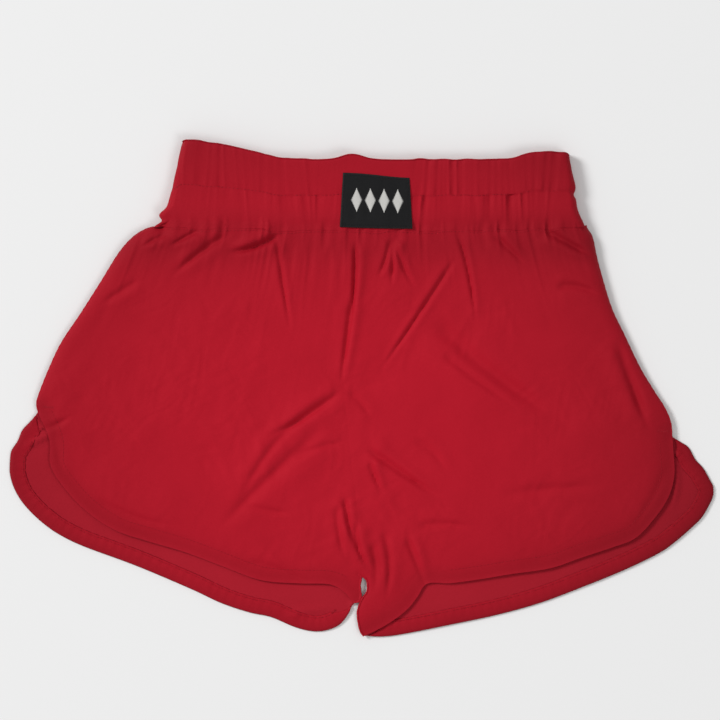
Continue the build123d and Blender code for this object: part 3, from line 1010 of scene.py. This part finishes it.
def panel(leg, layer):
    """One panel of cloth, the front ones finer because they are seen most."""
    columns, rows = (170, 210) if layer == "front" else (120, 150)
    plan = panel_grid(leg, layer, columns, rows)
    flat = plan.reshape(-1, 2)
    z = HEIGHTS[layer](flat, leg)
    grid = np.column_stack([flat, z]).reshape(rows, columns, 3)
    hem = np.abs(nearest(flat, leg.hem[layer])[0])
    side = side_distance(flat, leg)
    wear = np.exp(-((np.minimum(hem, side) / 2.2) ** 2)).reshape(rows, columns)
    # painted shade along the front's hem edge, darkest about 5 mm in from it
    hem_edge_shade = 0.11 * np.exp(-(((hem - 5) / 7) ** 2)).reshape(rows, columns) * (layer == "front")
    faces_up = (layer == "front") == (leg.sign < 0)
    if not faces_up:
        grid, plan, wear, hem_edge_shade = grid[:, ::-1], plan[:, ::-1], wear[:, ::-1], hem_edge_shade[:, ::-1]
    place = f"{layer}_{leg.name}"
    piece = paint(grid_piece(f"{place}_panel", grid, plan, wear, extra_painted_shade=hem_edge_shade), RED_CLOTH, RED_INSIDE)
    thickened(piece, CLOTH)
    piece.data.set_sharp_from_angle(angle=math.radians(50))
    bends(piece, f"{place}_hip_panel", f"{place}_leg_panel", slot="red_cloth")
    return piece


# Waistband

BAND_WALL = 4.0
BAND_HEIGHT = 58.0
LABEL_LOW, LABEL_HIGH = low("label_patch"), high("label_patch")
LABEL_CELL = 0.46  # between the points of the label's grid
ROW_V = 0.5  # the stitched row between the two channels, as a share of the band's height


def waist_seam_y(x):
    """The waist seam sags a little in the middle and wanders where the cloth is gathered."""
    half = (BAND_LEFT - BAND_RIGHT) / 2
    inside = np.clip(1 - ((x - WAIST_X) / half) ** 2, 0, 1)
    return SEAM_Y - 3.0 * inside + 1.1 * noise(x, x * 0, 11, 15) * np.minimum(1, inside * 4)


def seam_height(x):
    """Outer face of the front at the waist seam."""
    plan = np.column_stack([x.ravel(), waist_seam_y(x).ravel() - 0.6])
    z = np.where(plan[:, 0] < RISE_X, front_height(plan, RIGHT), front_height(plan, LEFT))
    return z.reshape(x.shape)


def band_top_y(x):
    """The waistband's upper edge stands up at the wearer's right and dips across the middle."""
    lift = 14.8 * smooth_step((WAIST_X - 54 - x) / 92) - 6.8
    lift += 4.2 * np.exp(-(((x - WAIST_X + 18) / 11) ** 2))
    lift += 5.6 * smooth_step((x - WAIST_X - 98) / 28)
    lift += 0.5 * noise(x, x * 0, 9, 7)
    corner = np.minimum(x - BAND_RIGHT - BAND_TAPER, BAND_LEFT - BAND_TAPER - x)
    return TOP_Y + lift - 6.0 * (1 - rounded(corner + 1.5, 7))


def right_end(v):
    """The band's end at the wearer's right, with a loop of cloth pushed out near the seam."""
    loop = 5.0 * np.exp(-(((v - 0.16) / 0.07) ** 2)) + 7.5 * (1 - smooth_step(v / 0.1))
    return BAND_RIGHT + BAND_TAPER * v + 1.6 * v * v - loop


def left_end(v):
    """The end at the wearer's left, drawn in at the stitched row and above the seam."""
    draw = 1.8 * np.exp(-(((v - ROW_V) / 0.06) ** 2)) + 3.2 * np.exp(-(((v - 0.28) / 0.2) ** 2))
    return BAND_LEFT - BAND_TAPER * v - draw


def channel_puff(v):
    """Two channels puffed up by their elastics, pinched at the seam, the row and the top."""
    return np.abs(np.sin(2 * np.pi * np.clip(v, 0, 1))) ** 0.7


def band_gathers(around, v):
    """Upright gathers held by the elastics, a different set in each channel, sharpest at the stitching."""
    upper = v > ROW_V
    lean = (v - ROW_V) * 7.0 * noise(around, around * 0, 24, 41)
    coarse = noise(around + lean, np.where(upper, v * 2.2 + 40, v * 2.2), 5.4, 42)
    crest = 1 - 1.8 * np.sqrt(coarse * coarse + 0.02)
    fine = noise(around + lean, v * 3.4, 2.6, 43)
    share = 0.5 + 0.55 * noise(around, np.where(upper, 30.0, 0.0), 22, 44)
    share = np.clip(share, 0.1, None) * (0.95 + 0.45 * np.tanh((around - WAIST_X - 20) / 35))
    under_label = (
        smooth_step((around - LABEL_LOW[0] + 6) / 8)
        * smooth_step((LABEL_HIGH[0] + 6 - around) / 8)
    )
    near_rows = 0.35 + 0.65 * np.exp(-(((v - ROW_V) / 0.17) ** 2))
    near_rows += 0.45 * np.exp(-(((1 - v) / 0.12) ** 2))
    return (1.4 * crest + 0.4 * fine) * share * near_rows * (1 - 0.75 * under_label)


def band_offset(around, v):
    """Outer face of the waistband, out from the CAD band's surface."""
    return -1.0 + 0.7 * channel_puff(v) + band_gathers(around, v)


def band_ring(columns):
    """The flattened ring: each column's share across the straight part, and its way out in x and z."""
    straight = int(columns * 0.47)
    bend = columns // 2 - straight
    across = np.linspace(-1, 1, straight, endpoint=False)
    turn = np.linspace(np.pi / 2, -np.pi / 2, bend, endpoint=False)
    t = np.concatenate([across, np.ones(bend), -across, -np.ones(bend)])
    angle = np.concatenate([np.full(straight, np.pi / 2), turn, np.full(straight, -np.pi / 2), turn - np.pi])
    return t, np.cos(angle), np.sin(angle)


def band_points(t, out_x, out_z, v, depth):
    """Points of the band at a height share v, in from its outer face by a depth."""
    radius = BAND_DEPTH / 2
    right, left = right_end(v), left_end(v)
    half = (left - right) / 2 - radius
    x = (left + right) / 2 + t * half
    back = out_z < -0.5
    around = np.where(back, 1000 - x, x + out_x * 8 * (1 + (out_z < 0)))
    grown = radius + np.where(depth > 0, 0.3 * band_gathers(around, v), band_offset(around, v)) - depth
    joined = (1 - smooth_step(v / 0.2)) * np.clip(out_z, 0, 1) ** 4 * (depth <= 0)
    grown = grown + (seam_height(x + 0 * v) + 0.1 - radius - grown) * joined
    x = x + out_x * grown
    z = radius + out_z * grown
    y = waist_seam_y(x) + (band_top_y(x) - waist_seam_y(x)) * v
    return x, y, np.maximum(z, FLOOR_GAP)


def waistband():
    """The gathered waistband: one flattened ring of wall, puffed in two rows over its elastics."""
    t, out_x, out_z = band_ring(860)
    up = np.linspace(0, 1, 52)
    over = np.linspace(0, np.pi, 7)[1:-1]
    v = np.concatenate([up, np.ones(len(over)), up[::-2]])
    depth = np.concatenate(
        [up * 0, BAND_WALL / 2 * (1 - np.cos(over)), np.full(len(up[::-2]), BAND_WALL)]
    )
    lift = np.concatenate([up * 0, 1.3 * np.sin(over), up[::-2] * 0])
    x, y, z = band_points(t[None], out_x[None], out_z[None], v[:, None], depth[:, None])
    y = y + lift[:, None]
    grid = np.stack([x, y, z], axis=-1)
    around = np.concatenate([[0], np.cumsum(np.linalg.norm(np.diff(grid[0], axis=0), axis=1))])
    rise = (v * BAND_HEIGHT + depth)[:, None]
    uv = np.stack([np.broadcast_to(around, x.shape), np.broadcast_to(rise, x.shape)], axis=-1)
    wear = np.exp(-(((v - 1) / 0.03) ** 2))[:, None] + 0 * x
    piece = grid_piece("waistband", grid[:, ::-1], uv[:, ::-1], wear, closed_rows=True, closed_columns=True)
    paint(face_out(piece), RED_CLOTH)
    piece.data.set_sharp_from_angle(angle=math.radians(50))
    return rides(
        piece, "front_waistband", "back_waistband", "upper_elastic", "lower_elastic", slot="red_cloth"
    )


def waistband_row():
    """Stitching between the two channels, all round except under the label."""
    t, out_x, out_z = band_ring(1400)
    x, y, z = band_points(t, out_x, out_z, np.full(len(t), ROW_V), np.zeros(len(t)))
    line = np.column_stack([x, y, z + 0.1 * out_z])
    line[:, 2] = np.maximum(line[:, 2], 0.35)
    shown = ~((out_z > 0.5) & (x > LABEL_LOW[0]) & (x < LABEL_HIGH[0]))
    gap = np.flatnonzero(~shown)
    line = np.vstack([line[gap[-1] + 1 :], line[: gap[0]]])
    piece = stitched("waistband_threads", RED_THREAD, line, pitch=2.9, length=2.5, seed=3)
    return rides(piece, "waistband_stitching", slot="red_thread")


def waist_seam_row():
    """Stitching just below the waist seam, on the front and on the back."""
    lines = []
    for layer in ("front", "back"):
        x = np.linspace(BAND_RIGHT + 5, BAND_LEFT - 5, 360)
        plan = np.column_stack([x, waist_seam_y(x) - 1.5])
        z = np.concatenate(
            [
                HEIGHTS[layer](plan[x < RISE_X], RIGHT),
                HEIGHTS[layer](plan[x >= RISE_X], LEFT),
            ]
        )
        z = z + 0.02 if layer == "front" else np.maximum(z, 0.35)
        lines.append(np.column_stack([plan, z]))
    piece = stitched("waist_seam_threads", RED_THREAD, *lines, pitch=2.9, length=2.5, width=0.5, seed=5)
    return rides(piece, "waist_seam_stitching", slot="red_thread")


# Hems, seams and bartacks


def strip_grid(line, sign, layer, leg, depths, lifts, wave):
    """A strip of cloth along an edge of a panel, as a closed loop of rows round its section."""
    rows = []
    share = np.linspace(0, 1, len(line))
    ripple = np.sin(arc_lengths(line) / 1.15) + noise(arc_lengths(line), share, 7, 13)
    along = arc_lengths(line)
    taper = np.clip(along / 8, 0.2, 1) * np.clip((along[-1] - along) / 16, 0.1, 1)
    for depth, lift in zip(depths, lifts):
        plan = inset(line, sign, depth * taper)
        row = raised(plan, layer, leg, lift)
        row[:, 2] += wave * ripple * np.clip(depth / HEM_WIDTH, 0, 1)
        rows.append(row)
    return np.array(rows)


def strip_plan(along, shape, step):
    """A strip's cloth as UVs: along its line, and a step for each row round its section."""
    return np.stack([np.broadcast_to(along, shape), np.cumsum(np.ones(shape), axis=0) * step], axis=-1)


def closed_strip(name, grid, uv, wear, extra_painted_shade=0.0):
    """A closed piece from a strip's rows, with both its ends capped."""
    piece = grid_piece(name, grid, uv, wear, closed_rows=True, extra_painted_shade=extra_painted_shade)
    close_ends(piece, *grid.shape[:2])
    return piece


def hem(leg, layer):
    """The turned hem inside a leg opening, rolled over the panel's edge."""
    line = leg.hem[layer]
    line = spaced(line[4 : int(len(line) * leg.hem_end[layer])], 320)
    sign = leg.sign
    up = 1 if layer == "back" else -1
    depths = (-0.35, 0.4, 3.0, 6.0, 9.0, 11.3, 12.0, 11.6, 9.0, 6.0, 3.0, 0.4)
    thick = (0.45, 1.4, 1.45, 1.35, 1.2, 0.95, 0.75, 0.62, 0.62, 0.62, 0.62, 0.55)
    lifts = [up * t for t in thick]
    grid = strip_grid(line, sign, layer, leg, depths, lifts, 0.14)
    uv = strip_plan(arc_lengths(line), grid.shape[:2], 2.4)
    wear = np.zeros(grid.shape[:2])
    wear[:2] = 1.0
    wear[5:7] = 0.4
    if (up > 0) == (sign > 0):
        grid, uv, wear = grid[:, ::-1], uv[:, ::-1], wear[:, ::-1]
    place = f"{layer}_{leg.name}"
    # painted shade on the turning, darkest at its folded edge and gone 12 mm in
    outer = np.interp(depths, (0, 9, 12), (0.13, 0.02, 0.0))
    piece = paint(closed_strip(f"{place}_hem_turning", grid, uv, wear, outer[:, None]), RED_CLOTH)
    return bends(piece, f"{place}_hem", slot="red_cloth")


def close_ends(piece, rows, columns):
    """Caps on the two open ends of a closed strip."""
    mesh = piece.data
    old = [tuple(p.vertices) for p in mesh.polygons]
    uv = np.zeros(len(mesh.loops) * 2, np.float32)
    mesh.uv_layers["cloth"].data.foreach_get("uv", uv)
    kept = {}
    for label in ("wear", "painted_shade"):
        kept[label] = np.zeros(len(mesh.vertices), np.float32)
        mesh.attributes[label].data.foreach_get("value", kept[label])
    start = tuple(k * columns for k in range(rows))
    end = tuple(k * columns + columns - 1 for k in range(rows))[::-1]
    made = bpy.data.meshes.new(piece.name)
    made.from_pydata([tuple(v.co) for v in mesh.vertices], [], [*old, start[::-1], end[::-1]])
    layer = made.uv_layers.new(name="cloth")
    caps = np.tile(uv[:2], 2 * rows)
    layer.data.foreach_set("uv", np.concatenate([uv, caps]))
    for label, values in kept.items():
        store(made, label, values)
    made.shade_smooth()
    piece.data = made


def hem_row(leg, layer):
    """The line of stitching that holds a hem, on the face that shows."""
    line = leg.hem[layer]
    line = spaced(line[6 : int(len(line) * (leg.hem_end[layer] - 0.03))], 500)
    plan = inset(line, leg.sign, np.full(len(line), 10.2))
    lift = 0.0 if layer == "front" else 1.16
    place = f"{layer}_{leg.name}"
    row = raised(plan, layer, leg, lift)
    piece = stitched(f"{place}_hem_threads", RED_THREAD, row, pitch=2.8, length=2.4, width=0.5, seed=7)
    return bends(piece, f"{place}_hem_stitching", slot="red_thread")


BEAD_ACROSS, BEAD_UP = 0.7, 0.8  # half the seam edge's width and height


def tube_grid(line, radius_across, radius_up, steps=8, ripple=0.0):
    """A rounded bead of cloth along a line."""
    run = np.gradient(line, axis=0)
    run /= np.linalg.norm(run, axis=1)[:, None]
    side = np.column_stack([-run[:, 1], run[:, 0], np.zeros(len(line))])
    side /= np.linalg.norm(side, axis=1)[:, None]
    swell = 1 + ripple * np.sin(arc_lengths(line) / 0.9)
    rows = []
    for angle in np.linspace(0, 2 * np.pi, steps, endpoint=False):
        row = line + side * (math.cos(angle) * radius_across * swell)[:, None]
        row[:, 2] += math.sin(angle) * radius_up * swell
        rows.append(row)
    return np.array(rows)


def bead(name, line):
    """A seam's rounded edge, puckered a little by its stitches."""
    grid = tube_grid(line, BEAD_ACROSS, BEAD_UP, ripple=0.10)
    uv = strip_plan(arc_lengths(line), grid.shape[:2], 0.6)
    return paint(face_out(closed_strip(name, grid, uv, np.full(grid.shape[:2], 0.5))), RED_CLOTH)


def side_seam(leg):
    """The sewn edge down one side, from the waistband to the slit."""
    plan = spaced(leg.side, 260)
    plan = inset(plan, leg.sign, np.full(len(plan), 0.5))
    line = np.column_stack([plan, np.full(len(plan), SIDE_Z - 0.1)])
    line[:, 2] += 0.25 * noise(arc_lengths(plan), plan[:, 0] * 0, 14, 17)
    piece = bead(f"{leg.name}_side_edge", line)
    return bends(piece, f"{leg.name}_side_seam", slot="red_cloth")


def inseam(leg):
    plan = spaced(leg.inseam, 90)
    plan = inset(plan, -leg.sign, np.full(len(plan), -0.4))
    line = np.column_stack([plan, np.full(len(plan), INSEAM_Z - 0.1)])
    piece = bead(f"{leg.name}_inseam_edge", line)
    return rides(piece, f"{leg.name}_inseam", slot="red_cloth", body="legs")


def rise_seam(layer):
    """The rise's seam allowance, pressed open inside the shorts."""
    line = spaced(RISE[layer], 250)[4:-4]
    line[:, 0] += 0.35 * np.sin(line[:, 1] / 6)
    up = 1 if layer == "back" else -1
    depths = (-4.0, -2.0, 0.0, 2.0, 4.0, 4.0, 2.0, 0.0, -2.0, -4.0)
    lifts = (1.15, 1.4, 1.5, 1.4, 1.15, 0.65, 0.65, 0.65, 0.65, 0.65)
    rows = []
    for depth, lift in zip(depths, lifts):
        plan = line + np.array((depth, 0))
        leg = LEFT if depth > 0 else RIGHT
        rows.append(raised(plan, layer, leg, up * lift))
    grid = np.array(rows)
    uv = strip_plan(line[:, 1], grid.shape[:2], 2)
    if up < 0:
        grid, uv = grid[:, ::-1], uv[:, ::-1]
    piece = closed_strip(f"{layer}_rise_seam", grid, uv, np.full(grid.shape[:2], 0.3))
    paint(piece, RED_INSIDE)
    return bends(piece, f"{layer}_hip_rise_seam", f"{layer}_leg_rise_seam", slot="red_cloth")


def bartack(leg):
    """Close zigzag of thread that keeps the slit from tearing."""
    node = f"{leg.name}_slit_bartack"
    centre = (low(node) + high(node))[:2] / 2
    swings = np.arange(0, 21)
    along = (swings / 20 - 0.5) * 8.6
    across = np.where(swings % 2, 0.8, -0.8)
    plan = centre + FOLD_RUN * along[:, None] + FOLD_UP * across[:, None]
    plan = spaced(plan, 160)
    row = raised(plan, "front", leg, -0.06)
    name = f"{leg.name}_bartack_threads"
    piece = stitched(name, RED_THREAD, row, pitch=0.45, length=0.8, width=0.3, wander=0.0)
    return bends(piece, node, slot="red_thread")


# Labels


def label_plan(columns, rows):
    """The label as it lies, a little out of square on the gathered band."""
    u = np.linspace(0, 1, columns)[None, :, None]
    v = np.linspace(0, 1, rows)[:, None, None]
    lx, ly = LABEL_LOW[:2]
    hx, hy = LABEL_HIGH[:2]
    bottom = (1 - u) * np.array((lx - 1.2, ly - 1.0)) + u * np.array((hx - 0.4, ly - 2.3))
    top = (1 - u) * np.array((lx + 1.3, hy + 0.5)) + u * np.array((hx - 2.7, hy - 2.8))
    plan = (1 - v) * bottom + v * top
    across, up = u[..., 0], v[..., 0]
    plan[..., 1] += 0.5 * np.sin(np.pi * 1.6 * across + 0.4) * up - 0.3 * np.sin(np.pi * across) * (1 - up)
    return plan


def label_height(x, y):
    wave = 0.28 * noise(x, y, 15, 61) + 0.16 * noise(x, y * 0.3, 6, 62)
    return LABEL_HIGH[2] - 0.05 + wave


def label_patch():
    """The woven label, with its edges turned under and a groove where it is sewn down."""
    columns, rows = 120, 88
    plan = label_plan(columns, rows)
    z = label_height(plan[..., 0], plan[..., 1])
    u = np.minimum(np.arange(columns), np.arange(columns)[::-1])[None] * LABEL_CELL
    v = np.minimum(np.arange(rows), np.arange(rows)[::-1])[:, None] * LABEL_CELL
    edge = np.minimum(u, v)
    z = z - 0.55 * (1 - rounded(edge, 1.0)) - 0.12 * np.exp(-(((edge - 1.7) / 0.35) ** 2))
    grid = np.dstack([plan, z])
    u, v = np.arange(columns)[None] * LABEL_CELL, np.arange(rows)[:, None] * LABEL_CELL
    uv = np.dstack(np.broadcast_arrays(u, v))
    piece = grid_piece("label", grid, uv, np.exp(-((edge / 0.8) ** 2)))
    thickened(paint(piece, BLACK_LABEL), 0.75)
    return rides(piece, "label_patch", slot="label_cloth")


def label_row():
    """Stitching round the label."""
    plan = label_plan(100, 80)
    inner = plan[3:-3, 3:-3]
    ring = np.vstack([inner[0], inner[1:, -1], inner[-1, -2::-1], inner[-2::-1, 0]])
    line = np.column_stack([ring, label_height(ring[:, 0], ring[:, 1]) - 0.02])
    piece = stitched("label_threads", BLACK_THREAD, line, pitch=2.2, length=1.9, width=0.5, seed=9)
    return rides(piece, "label_stitching", slot="label_thread")


def label_emblem():
    """Four diamonds side by side in satin stitch."""
    first, last = low("label_emblem"), high("label_emblem")
    count = 4
    gap = 1.5
    wide = (last[0] - first[0] - gap * (count - 1)) / count
    tall = last[1] - first[1]
    rows = 34
    points, reach = [], []
    for k in range(count):
        centre = first[0] + wide / 2 + k * (wide + gap)
        for row in range(rows):
            share = (row + 0.5) / rows * 2 - 1
            y = (first[1] + last[1]) / 2 + share * tall / 2
            points.append((centre, y))
            reach.append(max(wide * (1 - abs(share)), 0.7))
    points = np.array(points)
    points[:, 1] -= (points[:, 0] - first[0]) * 0.035
    z = label_height(points[:, 0], points[:, 1]) + 0.08
    piece = path_piece("label_diamonds", np.column_stack([points, z]))
    store(piece.data, "reach", np.array(reach) * 1.04 * MM)
    worked(piece, SATIN_FILL, Width=0.72 * MM, Loft=0.62 * MM, Thread=EMBLEM_THREAD)
    return rides(piece, "label_emblem", slot="emblem_thread")


def care_label():
    """A plain folded tape hanging from the back of the waist seam, inside."""
    first, last = low("care_label"), high("care_label")
    columns, rows = 31, 61
    x = np.linspace(first[0], last[0], columns)[None, :]
    y = np.linspace(last[1], first[1], rows)[:, None]
    x, y = np.broadcast_arrays(x, y)
    plan = np.column_stack([x.ravel(), y.ravel()])
    under = back_height(plan, LEFT).reshape(rows, columns)
    curl = 0.35 + 0.5 * ((last[1] - y) / (last[1] - first[1])) ** 2
    z = under + CLOTH + curl + 0.15 * np.sin(x / 5)
    piece = grid_piece("care_tape", np.dstack([x, y, z])[::-1], np.dstack([x, y])[::-1])
    thickened(paint(piece, CARE_TAPE), 0.3)
    return rides(piece, "care_label", slot="care_label_cloth")


# Make the shorts

for each_leg in LEGS:
    for each_layer in ("front", "back"):
        cloth_piece = panel(each_leg, each_layer)
        hem_piece = hem(each_leg, each_layer)
        row_piece = hem_row(each_leg, each_layer)
    side_seam(each_leg)
    inseam(each_leg)
    bartack(each_leg)
for each_layer in ("front", "back"):
    rise_seam(each_layer)
waistband()
waistband_row()
waist_seam_row()
label_patch()
label_row()
label_emblem()
care_label()


# Floor, light and camera


def studio_floor():
    mesh = bpy.data.meshes.new("floor")
    half = 4.0
    corners = [(-half, -half, 0), (half, -half, 0), (half, half, 0), (-half, half, 0)]
    mesh.from_pydata(corners, [], [(0, 1, 2, 3)])
    floor = link(mesh, "floor")
    material, _, principled = new_material("pale_floor", Roughness=0.95, Specular_IOR_Level=0.0)
    principled.inputs["Base Color"].default_value = (0.80, 0.80, 0.80, 1)
    paint(floor, material)


def soft_light(name, place, size, watts, aim=(0, 0.02, 0)):
    lamp = bpy.data.lights.new(name, "AREA")
    lamp.shape = "DISK"
    lamp.size = size
    lamp.energy = watts
    light = bpy.data.objects.new(name, lamp)
    bpy.context.scene.collection.objects.link(light)
    light.location = place
    way = np.array(aim) - np.array(place)
    tilt = math.acos(-way[2] / np.linalg.norm(way))
    light.rotation_euler = (tilt, 0, math.atan2(-way[0], way[1]))


def studio_light():
    world = bpy.data.worlds.new("studio")
    bpy.context.scene.world = world
    world.use_nodes = True
    world.node_tree.nodes["Background"].inputs["Color"].default_value = (1, 1, 1, 1)
    world.node_tree.nodes["Background"].inputs["Strength"].default_value = 0.46
    soft_light("key_light", (-6.2, 3.0, 5.2), 2.8, 540)
    soft_light("fill_light", (3.6, -2.6, 6.0), 3.2, 112)


def camera():
    view = bpy.data.cameras.new("camera")
    eye = bpy.data.objects.new("camera", view)
    bpy.context.scene.collection.objects.link(eye)
    height, width = 2.6, 0.5544
    view.sensor_width = 36.0
    view.lens = view.sensor_width * height / width
    eye.location = (-0.0012, 0.0262, height)
    eye.rotation_euler = (0, 0, 0)
    view.clip_end = 20
    bpy.context.scene.camera = eye


studio_floor()
studio_light()
camera()
bpy.context.scene.view_settings.view_transform = "Standard"
